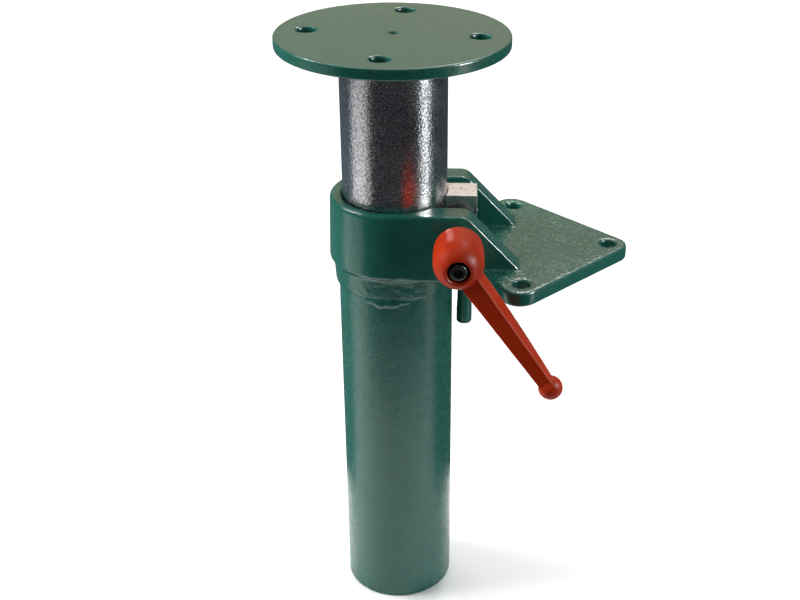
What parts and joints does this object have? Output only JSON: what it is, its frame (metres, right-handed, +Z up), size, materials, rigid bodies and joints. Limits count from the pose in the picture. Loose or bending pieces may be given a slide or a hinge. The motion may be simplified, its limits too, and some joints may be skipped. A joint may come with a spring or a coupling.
{
  "type": "height-adjustable bench column",
  "caption": "Painted guide tube and corner bracket holding a sliding, swivelling steel column with a round bolting plate, locked by a red clamping lever.",
  "frame": {"origin": "middle of the guide tube's lower end, on the column axis", "axes": "+Z up along the column, +X towards the mounting plate's nose, -Y towards the clamp lever"},
  "size_m": [0.199, 0.1595, 0.3634],
  "materials": {
    "green_paint": "teal-green enamel over a cast or rolled surface, orange peel, semi-gloss",
    "ground_steel": "bright ground steel with fine marks round the column",
    "bare_steel": "bare machined steel, blasted top",
    "zinc_steel": "zinc-plated steel",
    "black_steel": "black oxide, glossy",
    "red_plastic": "orange-red glass-filled plastic, fine matt texture",
    "guide_plastic": "dark acetal",
    "seal_rubber": "nitrile rubber",
    "bearing_brass": "brass cage",
    "weld_steel": "weld bead painted over"
  },
  "bodies": {
    "bracket": {"clamp_bracket": "green_paint", "guide_tube": "green_paint", "tube_weld": "weld_steel", "base_cap": "green_paint", "collar_bush": "guide_plastic", "bench_stop_pin": "green_paint", "gas_spring_rod": "ground_steel", "gas_spring_piston": "zinc_steel", "piston_ring": "guide_plastic", "piston_nut": "zinc_steel", "rod_lock_nut": "zinc_steel"},
    "lift": {"gas_spring_cylinder": "black_steel", "gas_spring_gland": "zinc_steel", "gas_spring_seal": "seal_rubber", "gas_spring_stud": "zinc_steel", "stud_circlip": "black_steel", "swivel_race_lower": "zinc_steel", "swivel_bearing_balls": "zinc_steel", "swivel_bearing_cage": "bearing_brass"},
    "column": {"column_tube": "ground_steel", "top_plate": "green_paint", "guide_ring": "guide_plastic", "column_weld": "weld_steel", "column_plug": "bare_steel", "swivel_race_upper": "zinc_steel"},
    "spindle": {"eccentric_shaft": "bare_steel", "shaft_washer": "zinc_steel", "rear_washer": "zinc_steel", "rear_lock_nut": "zinc_steel", "lever_insert": "zinc_steel", "lever_screw": "black_steel", "lever_screw_washer": "black_steel"},
    "lever": {"lever_handle": "red_plastic", "lever_spring": "zinc_steel"},
    "block": {"clamp_block": "bare_steel"}
  },
  "joints": [
    {"name": "column_slide", "type": "slide", "parent": "bracket", "child": "lift", "axis": [0, 0, 1], "range_m": [-0.08, 0.096]},
    {"name": "column_swivel", "type": "hinge", "parent": "lift", "child": "column", "pos_m": [0, 0, 0.3], "axis": [0, 0, 1], "continuous": true},
    {"name": "clamp_turn", "type": "hinge", "parent": "bracket", "child": "spindle", "pos_m": [0.0365, 0, 0.2588], "axis": [0, -1, 0], "range_deg": [0, 90]},
    {"name": "block_slide", "type": "slide", "parent": "bracket", "child": "block", "axis": [1, 0, 0], "range_m": [0, 0.00083]},
    {"name": "lever_lift", "type": "slide", "parent": "spindle", "child": "lever", "axis": [0, -1, 0], "range_m": [0, 0.004], "stiffness_N_per_m": 1500, "springref_m": -0.002}
  ],
  "couplings": [
    {"joint": "block_slide", "follows": "clamp_turn", "m_per_rad": 0.0005093}
  ]
}
